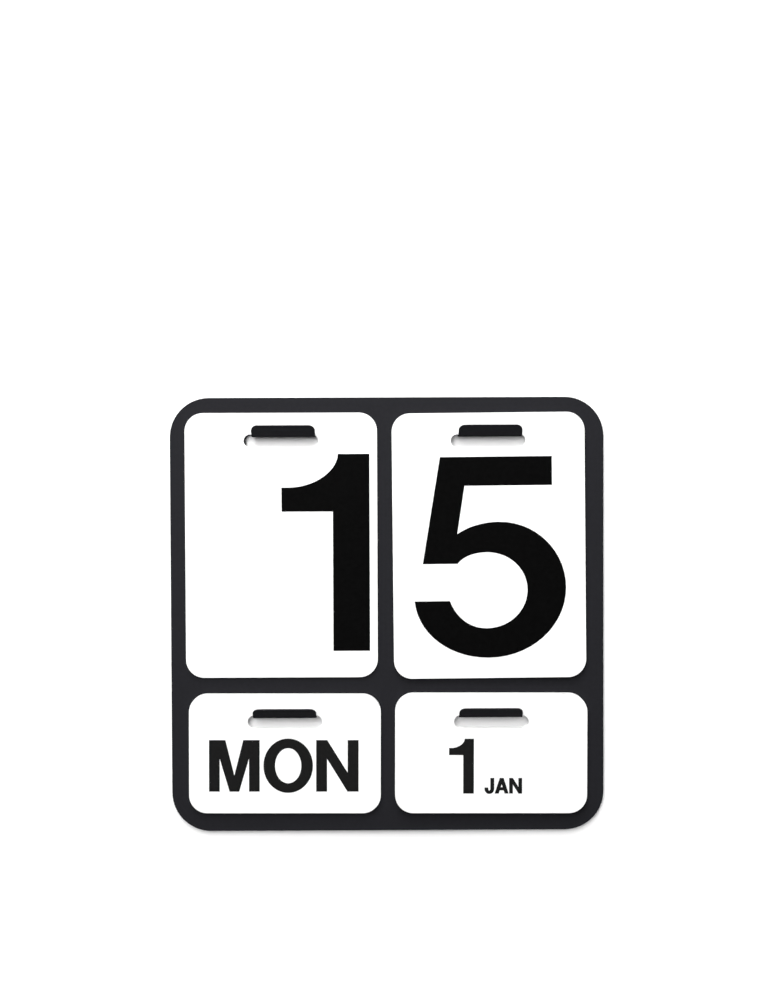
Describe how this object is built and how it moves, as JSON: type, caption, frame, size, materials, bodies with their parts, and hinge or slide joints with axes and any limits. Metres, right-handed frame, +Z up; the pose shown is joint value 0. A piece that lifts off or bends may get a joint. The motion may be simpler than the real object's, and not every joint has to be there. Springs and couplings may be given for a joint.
{
  "type": "perpetual wall calendar",
  "caption": "Square sheet-metal wall plate with bent hooks, on which stacks of slotted printed cards hang to show the date, the weekday and the month.",
  "frame": {"origin": "on the wall, midway between the two screw holes", "axes": "+Z up, +X to the right as seen from the front, +Y into the wall, so the cards face -Y"},
  "size_m": [0.31, 0.017, 0.3109],
  "materials": {
    "plate": "matt black powder coat on steel sheet",
    "cards": "white PVC sheet, printed in black",
    "pads": "soft dark grey rubber",
    "ink": "black screen-printing ink"
  },
  "bodies": {
    "plate": {"back_plate": "plate", "wall_pads": "pads"},
    "tens_card_1": {"tens_card_1": "cards"},
    "tens_card_2": {"tens_card_2": "cards"},
    "tens_card_3": {"tens_card_3": "cards"},
    "tens_card_blank": {"tens_card_blank": "cards"},
    "units_card_5": {"units_card_5": "cards"},
    "units_card_6": {"units_card_6": "cards"},
    "units_card_7": {"units_card_7": "cards"},
    "units_card_8": {"units_card_8": "cards"},
    "units_card_9": {"units_card_9": "cards"},
    "units_card_0": {"units_card_0": "cards"},
    "units_card_1": {"units_card_1": "cards"},
    "units_card_2": {"units_card_2": "cards"},
    "units_card_3": {"units_card_3": "cards"},
    "units_card_4": {"units_card_4": "cards"},
    "weekday_card_mon": {"weekday_card_mon": "cards"},
    "weekday_card_tue": {"weekday_card_tue": "cards"},
    "weekday_card_wed": {"weekday_card_wed": "cards"},
    "weekday_card_thu": {"weekday_card_thu": "cards"},
    "weekday_card_fri": {"weekday_card_fri": "cards"},
    "weekday_card_sat": {"weekday_card_sat": "cards"},
    "weekday_card_sun": {"weekday_card_sun": "cards"},
    "month_card_jan": {"month_card_jan": "cards"},
    "month_card_feb": {"month_card_feb": "cards"},
    "month_card_mar": {"month_card_mar": "cards"},
    "month_card_apr": {"month_card_apr": "cards"},
    "month_card_may": {"month_card_may": "cards"},
    "month_card_jun": {"month_card_jun": "cards"},
    "month_card_jul": {"month_card_jul": "cards"},
    "month_card_aug": {"month_card_aug": "cards"},
    "month_card_sep": {"month_card_sep": "cards"},
    "month_card_oct": {"month_card_oct": "cards"},
    "month_card_nov": {"month_card_nov": "cards"},
    "month_card_dec": {"month_card_dec": "cards"}
  },
  "joints": [
    {"name": "tens_card_1_lift_off", "type": "slide", "parent": "plate", "child": "tens_card_1", "axis": [0, -0.6428, 0.766], "range_m": [0, 0.05]},
    {"name": "tens_card_2_lift", "type": "slide", "parent": "plate", "child": "tens_card_2", "axis": [0, 0, 1], "range_m": [0, 0.0058]},
    {"name": "tens_card_3_lift", "type": "slide", "parent": "plate", "child": "tens_card_3", "axis": [0, 0, 1], "range_m": [0, 0.0058]},
    {"name": "tens_card_blank_lift", "type": "slide", "parent": "plate", "child": "tens_card_blank", "axis": [0, 0, 1], "range_m": [0, 0.0058]},
    {"name": "units_card_5_lift_off", "type": "slide", "parent": "plate", "child": "units_card_5", "axis": [0, -0.6428, 0.766], "range_m": [0, 0.05]},
    {"name": "units_card_6_lift", "type": "slide", "parent": "plate", "child": "units_card_6", "axis": [0, 0, 1], "range_m": [0, 0.0068]},
    {"name": "units_card_7_lift", "type": "slide", "parent": "plate", "child": "units_card_7", "axis": [0, 0, 1], "range_m": [0, 0.0068]},
    {"name": "units_card_8_lift", "type": "slide", "parent": "plate", "child": "units_card_8", "axis": [0, 0, 1], "range_m": [0, 0.0068]},
    {"name": "units_card_9_lift", "type": "slide", "parent": "plate", "child": "units_card_9", "axis": [0, 0, 1], "range_m": [0, 0.0068]},
    {"name": "units_card_0_lift", "type": "slide", "parent": "plate", "child": "units_card_0", "axis": [0, 0, 1], "range_m": [0, 0.0068]},
    {"name": "units_card_1_lift", "type": "slide", "parent": "plate", "child": "units_card_1", "axis": [0, 0, 1], "range_m": [0, 0.0068]},
    {"name": "units_card_2_lift", "type": "slide", "parent": "plate", "child": "units_card_2", "axis": [0, 0, 1], "range_m": [0, 0.0068]},
    {"name": "units_card_3_lift", "type": "slide", "parent": "plate", "child": "units_card_3", "axis": [0, 0, 1], "range_m": [0, 0.0068]},
    {"name": "units_card_4_lift", "type": "slide", "parent": "plate", "child": "units_card_4", "axis": [0, 0, 1], "range_m": [0, 0.0068]},
    {"name": "weekday_card_mon_lift_off", "type": "slide", "parent": "plate", "child": "weekday_card_mon", "axis": [0, -0.6428, 0.766], "range_m": [0, 0.05]},
    {"name": "weekday_card_tue_lift", "type": "slide", "parent": "plate", "child": "weekday_card_tue", "axis": [0, 0, 1], "range_m": [0, 0.0068]},
    {"name": "weekday_card_wed_lift", "type": "slide", "parent": "plate", "child": "weekday_card_wed", "axis": [0, 0, 1], "range_m": [0, 0.0068]},
    {"name": "weekday_card_thu_lift", "type": "slide", "parent": "plate", "child": "weekday_card_thu", "axis": [0, 0, 1], "range_m": [0, 0.0068]},
    {"name": "weekday_card_fri_lift", "type": "slide", "parent": "plate", "child": "weekday_card_fri", "axis": [0, 0, 1], "range_m": [0, 0.0068]},
    {"name": "weekday_card_sat_lift", "type": "slide", "parent": "plate", "child": "weekday_card_sat", "axis": [0, 0, 1], "range_m": [0, 0.0068]},
    {"name": "weekday_card_sun_lift", "type": "slide", "parent": "plate", "child": "weekday_card_sun", "axis": [0, 0, 1], "range_m": [0, 0.0068]},
    {"name": "month_card_jan_lift_off", "type": "slide", "parent": "plate", "child": "month_card_jan", "axis": [0, -0.6428, 0.766], "range_m": [0, 0.05]},
    {"name": "month_card_feb_lift", "type": "slide", "parent": "plate", "child": "month_card_feb", "axis": [0, 0, 1], "range_m": [0, 0.0068]},
    {"name": "month_card_mar_lift", "type": "slide", "parent": "plate", "child": "month_card_mar", "axis": [0, 0, 1], "range_m": [0, 0.0068]},
    {"name": "month_card_apr_lift", "type": "slide", "parent": "plate", "child": "month_card_apr", "axis": [0, 0, 1], "range_m": [0, 0.0068]},
    {"name": "month_card_may_lift", "type": "slide", "parent": "plate", "child": "month_card_may", "axis": [0, 0, 1], "range_m": [0, 0.0068]},
    {"name": "month_card_jun_lift", "type": "slide", "parent": "plate", "child": "month_card_jun", "axis": [0, 0, 1], "range_m": [0, 0.0068]},
    {"name": "month_card_jul_lift", "type": "slide", "parent": "plate", "child": "month_card_jul", "axis": [0, 0, 1], "range_m": [0, 0.0068]},
    {"name": "month_card_aug_lift", "type": "slide", "parent": "plate", "child": "month_card_aug", "axis": [0, 0, 1], "range_m": [0, 0.0068]},
    {"name": "month_card_sep_lift", "type": "slide", "parent": "plate", "child": "month_card_sep", "axis": [0, 0, 1], "range_m": [0, 0.0068]},
    {"name": "month_card_oct_lift", "type": "slide", "parent": "plate", "child": "month_card_oct", "axis": [0, 0, 1], "range_m": [0, 0.0068]},
    {"name": "month_card_nov_lift", "type": "slide", "parent": "plate", "child": "month_card_nov", "axis": [0, 0, 1], "range_m": [0, 0.0068]},
    {"name": "month_card_dec_lift", "type": "slide", "parent": "plate", "child": "month_card_dec", "axis": [0, 0, 1], "range_m": [0, 0.0068]}
  ]
}
